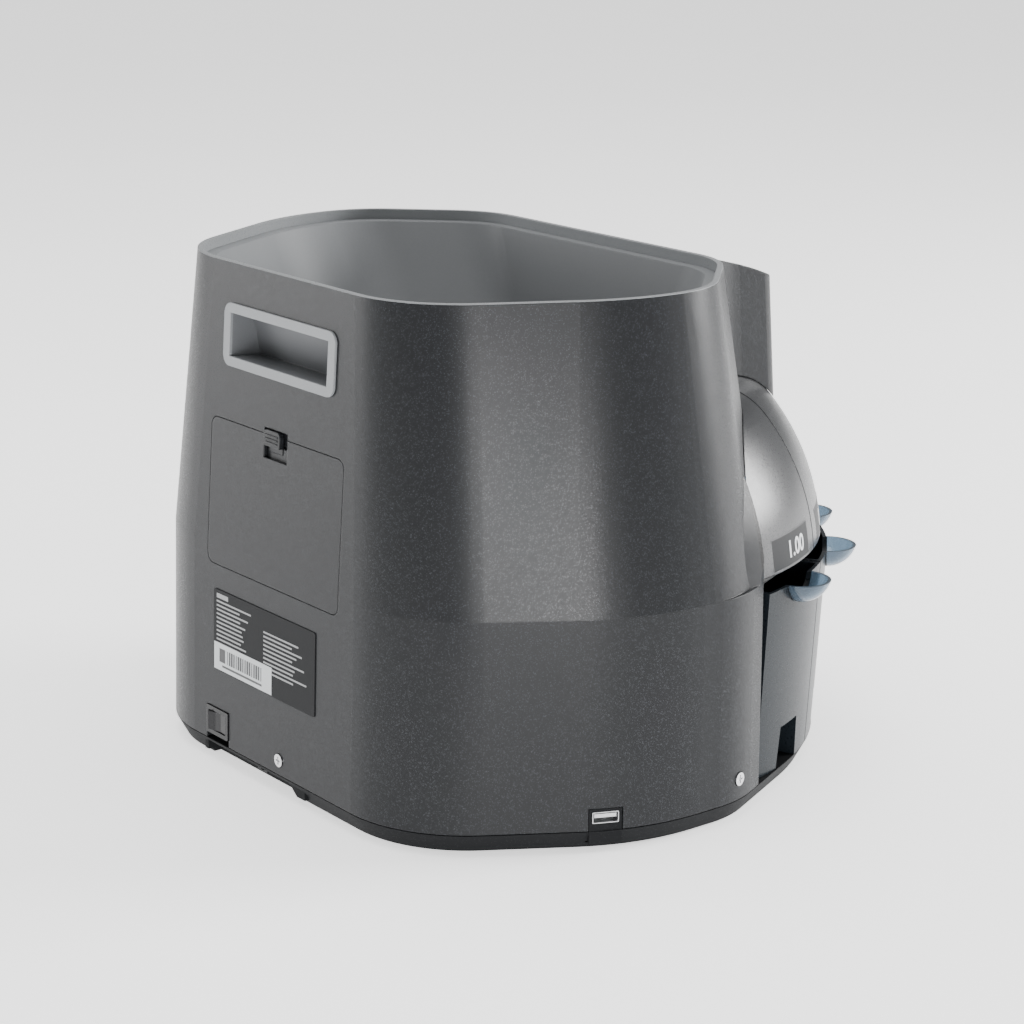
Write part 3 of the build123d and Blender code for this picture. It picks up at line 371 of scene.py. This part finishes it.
rubberMaterial = smoothPlastic("softRubber", {"dark": (0.008, 0.008, 0.008), "light": (0.02, 0.02, 0.02),
                                              "rough": 0.75, "bump": 0.8})
keyMaterial = smoothPlastic("keyGrey", {"dark": (0.36, 0.37, 0.38), "light": (0.46, 0.47, 0.48), "rough": 0.38,
                                        "round": 0.0008})
startMaterial = smoothPlastic("startGreen", {"dark": (0.02, 0.2, 0.06), "light": (0.04, 0.3, 0.1), "rough": 0.35,
                                             "round": 0.0008})
panelMaterial = smoothPlastic("panelFilm", {"dark": (0.012, 0.013, 0.015), "light": (0.024, 0.026, 0.029),
                                            "rough": 0.3, "grain": 1600.0})
plateMaterial = smoothPlastic("ratingFilm", {"dark": (0.01, 0.0105, 0.0115), "light": (0.016, 0.0167, 0.018),
                                             "rough": 0.55, "specular": 0.12})
numberMaterial = smoothPlastic("numberPlate", {"dark": (0.008, 0.0086, 0.0095), "light": (0.013, 0.014, 0.0155),
                                               "rough": 0.45, "round": 0.0002, "specular": 0.15})
binMaterial = smokedPlastic("smokedBin")
lensMaterial = tintedWindow("displayWindow")
handleMaterial = handlePlastic("handleGrey")
steelMaterial = brushedMetal("brushedSteel", {"dark": (0.38, 0.385, 0.39), "light": (0.6, 0.6, 0.61),
                                              "rough": 0.34})
brightMaterial = brushedMetal("platedSteel", {"dark": (0.55, 0.55, 0.56), "light": (0.78, 0.78, 0.79),
                                              "rough": 0.25})
# the keypad's board has no components, so its height lies above the machine
boardTops = {"main": 0.0123, "keypad": 1.0}
boardMaterial = circuitBoard("circuitGreen", boardTops["main"])
keyBoardMaterial = circuitBoard("keyCircuit", boardTops["keypad"])
inkMaterial = printedInk("paleInk", (0.62, 0.63, 0.64), (0.74, 0.75, 0.76))
stickerMaterial = printedInk("stickerFilm", (0.5, 0.52, 0.53), (0.56, 0.58, 0.59))
# dark ink for printed marks, also used as painted shade along the number plates' edges
darkInkAndShadeMaterial = printedInk("darkInkAndShade", (0.03, 0.03, 0.032), (0.06, 0.06, 0.064))
faintInkMaterial = printedInk("greyInk", (0.24, 0.245, 0.25), (0.34, 0.345, 0.35))
digitMaterial = printedInk("displayDigits", (0.35, 0.75, 0.85), (0.45, 0.85, 0.95), 1.6)
print("materials made")

carried = {
    "housing": caseMaterial, "access_hatch": caseMaterial, "hatch_latch": caseMaterial,
    "front_cover": coverMaterial, "number_plates": numberMaterial, "base_pan": baseMaterial,
    "rubber_feet": rubberMaterial,
    "drive_belt": rubberMaterial, "hopper_bowl": bowlMaterial, "rear_handle": handleMaterial,
    "bin_bay_wall": innerMaterial, "coin_disc": innerMaterial, "disc_pulley": innerMaterial,
    "switch_body": blackMaterial, "power_rocker": blackMaterial, "power_jack": blackMaterial,
    "coin_sensor": blackMaterial, "display_module": blackMaterial, "control_panel": panelMaterial,
    "rating_plate": plateMaterial, "display_lens": lensMaterial, "main_board": boardMaterial,
    "keypad_board": keyBoardMaterial, "start_key": startMaterial,
}
carried.update({name: brightMaterial for name in ("case_screws", "disc_shaft", "motor_shaft")})
carried.update({name: steelMaterial for name in ("sorting_deck", "usb_socket", "coin_rail", "disc_bearing", "motor",
                                                 "motor_bracket", "motor_pulley", "power_supply")})
carried.update({name: binMaterial for name in nodes if name.startswith("bin_") and name != "bin_bay_wall"})
carried.update({name: keyMaterial for name in nodes if name.startswith("key_")})
for name, material in carried.items():
    nodes[name].data.materials.clear()
    nodes[name].data.materials.append(material)
print("left plain:", sorted(set(nodes) - set(carried)))


# tools for the printed and stuck-on pieces
def clearSelection():
    for thing in bpy.context.selected_objects:
        thing.select_set(False)


def raised(thick):
    # the active flat shape becomes a solid of that thickness
    bpy.ops.object.mode_set(mode="EDIT")
    bpy.ops.mesh.select_all(action="SELECT")
    bpy.ops.mesh.extrude_region_move(TRANSFORM_OT_translate={"value": (0, 0, thick)})
    bpy.ops.mesh.select_all(action="SELECT")
    bpy.ops.mesh.normals_make_consistent(inside=False)
    bpy.ops.object.mode_set(mode="OBJECT")


def strip(width, height, x, y, thick, cuts=1):
    # thin raised bar that stands on z 0, cut across so that it can be wrapped
    clearSelection()
    bpy.ops.mesh.primitive_grid_add(x_subdivisions=cuts, y_subdivisions=1, size=1, location=(0, 0, 0))
    bar = bpy.context.object
    bar.scale = (width, height, 1)
    bar.location = (x, y, 0)
    bpy.ops.object.transform_apply(location=True, rotation=False, scale=True)
    raised(thick)
    return bar


def lettering(text, size, x, y, thick, bold=0.0):
    # raised digits or a plain sign, made a mesh before it is placed
    clearSelection()
    bpy.ops.object.text_add(location=(0, 0, 0))
    made = bpy.context.object
    made.data.body = text
    made.data.size = size
    made.data.align_x = "CENTER"
    made.data.align_y = "CENTER"
    made.data.extrude = thick / 2
    made.data.offset = size * bold
    made.data.resolution_u = 4
    bpy.ops.object.convert(target="MESH")
    made = bpy.context.object
    made.data.transform(Matrix.Translation((x, y, thick / 2)))
    return made


def joined(things, name, material, body):
    clearSelection()
    for thing in things:
        thing.select_set(True)
    bpy.context.view_layer.objects.active = things[0]
    if len(things) > 1:
        bpy.ops.object.join()
    whole = bpy.context.object
    whole.name = name
    whole.data.materials.clear()
    whole.data.materials.append(material)
    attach(whole, body)
    return whole


def lay(thing, place):
    thing.data.transform(place)
    thing.data.update()
    return thing


# numbers on the plates over the bins, and dark strips along each plate's top and sides as painted shade of its recess
# edge, all wrapped on the curved cover
numberPlate = {"low": 0.118, "high": 0.134, "radiusLow": 0.16590, "radiusHigh": 0.16368, "bulge": 0.00028,
               "halfTurn": 7.5, "digitSize": 0.012, "bold": 0.02, "thick": 0.00012, "line": 0.0005, "cuts": 14,
               "digitX": 0.004, "digitY": -0.0008,
               "values": ("1.00", "0.50", "0.20", "0.10", "0.05", "0.02", "0.01")}


def wrapOnCover(thing, turn):
    # x runs round the cover, y up it from the middle of the plate and z out of it
    middle = (numberPlate["low"] + numberPlate["high"]) / 2
    half = (numberPlate["high"] - numberPlate["low"]) / 2
    for vertex in thing.data.vertices:
        x, y, z = vertex.co
        share = y / half
        radius = (numberPlate["radiusLow"] * (1 - share) + numberPlate["radiusHigh"] * (1 + share)) / 2
        radius += numberPlate["bulge"] * (1 - share * share) + z
        angle = math.radians(turn) + x / radius
        vertex.co = (radius * math.sin(angle), machine["axisY"] - radius * math.cos(angle), middle + y)
    thing.data.update()
    return thing


digits = []
recessShades = []
plateWidth = 2 * math.radians(numberPlate["halfTurn"]) * numberPlate["radiusLow"]
plateHeight = numberPlate["high"] - numberPlate["low"]
for i, value in enumerate(numberPlate["values"]):
    turn = (i - (machine["binCount"] - 1) / 2) * machine["binPitch"]
    digits.append(wrapOnCover(lettering(value, numberPlate["digitSize"], numberPlate["digitX"],
                                        numberPlate["digitY"], numberPlate["thick"], numberPlate["bold"]), turn))
    # painted shade: dark strips along the plate's top and sides, where its recess edge shades it
    for width, height, x, y in ((plateWidth, numberPlate["line"], 0, plateHeight / 2),
                                (numberPlate["line"], plateHeight, -plateWidth / 2, 0),
                                (numberPlate["line"], plateHeight, plateWidth / 2, 0)):
        recessShades.append(wrapOnCover(strip(width, height, x, y, numberPlate["thick"], numberPlate["cuts"]), turn))
joined(digits, "numberDigits", inkMaterial, "case")
joined(recessShades, "numberPlateShades", darkInkAndShadeMaterial, "case")
print("number plates lettered")

# print on the rating plate: plain rules in two columns, and a pale sticker with bars
ratingPrint = {"at": 0.0728, "x": 0.006, "width": 0.095, "height": 0.0435, "film": 0.0005, "line": 0.0009,
               "pitch": 0.00225, "thick": 0.00006, "headWidth": 0.011, "headHeight": 0.0024, "headX": 0.0085,
               "headDrop": 0.0032}
# each column of rules: how many, where it starts from the plate's left and top, its widest and how it varies
columns = ({"count": 11, "x": 0.003, "drop": 0.0062, "wide": 0.033, "less": 0.011, "step": 1.7, "phase": 0.0},
           {"count": 10, "x": 0.048, "drop": 0.0115, "wide": 0.04, "less": 0.014, "step": 1.1, "phase": 0.6})
up, out = rearWays(ratingPrint["at"])
plateSeat = seat(rearPoint(ratingPrint["at"]) + out * ratingPrint["film"] + Vector((ratingPrint["x"], 0, 0)),
                 Vector((-1, 0, 0)), up, out)
left, top = -ratingPrint["width"] / 2, ratingPrint["height"] / 2
rules = [strip(ratingPrint["headWidth"], ratingPrint["headHeight"], left + ratingPrint["headX"],
               top - ratingPrint["headDrop"], ratingPrint["thick"])]
for column in columns:
    for i in range(column["count"]):
        wide = column["wide"] - column["less"] * abs(math.sin(column["step"] * i + column["phase"]))
        rules.append(strip(wide, ratingPrint["line"], left + column["x"] + wide / 2,
                           top - column["drop"] - ratingPrint["pitch"] * i, ratingPrint["thick"]))
for rule in rules:
    lay(rule, plateSeat)
joined(rules, "ratingRules", faintInkMaterial, "case")

label = {"width": 0.055, "height": 0.0145, "marginX": 0.0008, "marginY": 0.0006, "thick": 0.00015,
         "inkTop": 0.00022, "barHeight": 0.0072, "barY": 0.001, "blockWidth": 0.0055, "blockX": -0.0195,
         "count": 16, "firstX": -0.0145, "pitch": 0.00215, "thin": 0.0005, "more": 0.0011, "step": 2.3,
         "ruleWidth": 0.038, "ruleHeight": 0.0011, "ruleX": -0.0005, "ruleY": -0.0046}
stickerX = left + label["width"] / 2 + label["marginX"]
stickerY = -top + label["height"] / 2 + label["marginY"]
sticker = strip(label["width"], label["height"], stickerX, stickerY, label["thick"])
joined([lay(sticker, plateSeat)], "ratingSticker", stickerMaterial, "case")
barY = stickerY + label["barY"]
stripes = [strip(label["blockWidth"], label["barHeight"], stickerX + label["blockX"], barY, label["inkTop"])]
for i in range(label["count"]):
    wide = label["thin"] + label["more"] * abs(math.sin(label["step"] * i))
    stripes.append(strip(wide, label["barHeight"], stickerX + label["firstX"] + label["pitch"] * i, barY,
                         label["inkTop"]))
stripes.append(strip(label["ruleWidth"], label["ruleHeight"], stickerX + label["ruleX"],
                     stickerY + label["ruleY"], label["inkTop"]))
for stripe in stripes:
    lay(stripe, plateSeat)
joined(stripes, "stickerBars", darkInkAndShadeMaterial, "case")
print("rating plate printed")

# signs on the control panel: a plain number on each key, a triangle on the start key and digits in the display
controls = {"lean": 4.4, "reach": 0.1149, "at": machine["height"] - 0.0435, "keyTop": 0.0034, "keySize": 0.0062,
            "firstX": -0.003, "pitch": 0.015, "rowPitch": 0.015, "startX": 0.0585, "displayX": -0.04,
            "displayY": 0.0005, "displayTop": 0.00032, "sign": 0.00008, "playRadius": 0.0036}
# what the display shows: a number, its height and its place from the window's middle
figures = (("12.40", 0.0135, 0.004, 0.0005), ("8", 0.006, -0.0165, -0.0045))
lean = math.radians(controls["lean"])
reach = controls["reach"] + (machine["height"] - controls["at"]) * math.tan(lean)
panelSeat = seat(Vector((0, machine["axisY"] - reach, controls["at"])), Vector((1, 0, 0)),
                 Vector((0, math.sin(lean), math.cos(lean))), Vector((0, -math.cos(lean), math.sin(lean))))
keySpots = [(controls["firstX"] + controls["pitch"] * i, side * controls["rowPitch"] / 2)
            for side in (1, -1) for i in range(4)]
raiseSign = Matrix.Translation((0, 0, controls["keyTop"]))
for number, (x, y) in enumerate(keySpots, 1):
    sign = lay(lettering(str(number), controls["keySize"], x, y, controls["sign"]), panelSeat @ raiseSign)
    joined([sign], "keySign" + str(number), darkInkAndShadeMaterial, "key_" + str(number))
clearSelection()
bpy.ops.mesh.primitive_circle_add(vertices=3, radius=controls["playRadius"], fill_type="NGON", location=(0, 0, 0))
play = bpy.context.object
raised(controls["sign"])
pointRight = Matrix.Rotation(-math.pi / 2, 4, "Z")
lay(play, panelSeat @ raiseSign @ Matrix.Translation((controls["startX"], 0, 0)) @ pointRight)
joined([play], "startSign", inkMaterial, "start_key")
display = Matrix.Translation((controls["displayX"], controls["displayY"], controls["displayTop"]))
joined([lay(lettering(*figure, controls["sign"]), panelSeat @ display) for figure in figures],
       "displayFigures", digitMaterial, "case")
print("control panel lettered")

# pale floor and soft studio light
studio = {"floor": 30.0, "world": 0.4, "floorGlow": 1.2, "floorDark": (0.94, 0.94, 0.94),
          "floorLight": (0.96, 0.96, 0.96), "floorRough": 0.6, "floorSpread": 0.1, "floorShine": 0.2}


def paleFloor():
    f = Finish("paleFloor")
    slow = f.noise(2.0, 2.0)
    pale = f.mix(shade(studio["floorDark"]), shade(studio["floorLight"]), slow)
    rough = studio["floorRough"] + (slow - 0.5) * studio["floorSpread"]
    return f.set(colour=pale, rough=rough, specular=studio["floorShine"], glow=pale, glowPower=studio["floorGlow"])


clearSelection()
bpy.ops.mesh.primitive_plane_add(size=studio["floor"], location=(0, 0, 0))
floor = bpy.context.object
floor.name = "studioFloor"
floor.data.materials.append(paleFloor())

lamps = {
    "facetSoftbox": {"place": (-1.2, 0.6, 0.1), "aim": (-0.1, 0.08, 0.15), "size": 0.36, "power": 13.0},
    "rearSoftbox": {"place": (1.5, 1.35, 0.5), "aim": (0, 0.1, 0.13), "size": 0.9, "power": 16.0},
    "rightSoftbox": {"place": (-1.0, -2.0, 0.75), "aim": (-0.1, 0, 0.15), "size": 0.9, "power": 85.0},
    "topSoftbox": {"place": (0.2, 0.1, 2.2), "aim": (0, 0, 0.1), "size": 2.0, "power": 45.0},
}
for name, lamp in lamps.items():
    bpy.ops.object.light_add(type="AREA", location=lamp["place"])
    light = bpy.context.object
    light.name = name
    light.data.shape = "SQUARE"
    light.data.size = lamp["size"]
    light.data.energy = lamp["power"]
    way = [a - b for a, b in zip(lamp["aim"], lamp["place"])]
    light.rotation_euler = (math.atan2(math.hypot(way[0], way[1]), -way[2]), 0,
                            math.atan2(way[1], way[0]) - math.pi / 2)
world = bpy.data.worlds.new("studioWorld")
world.use_nodes = True
world.node_tree.nodes["Background"].inputs["Color"].default_value = (1.0, 1.0, 1.0, 1.0)
world.node_tree.nodes["Background"].inputs["Strength"].default_value = studio["world"]
bpy.context.scene.world = world
print("studio lit")
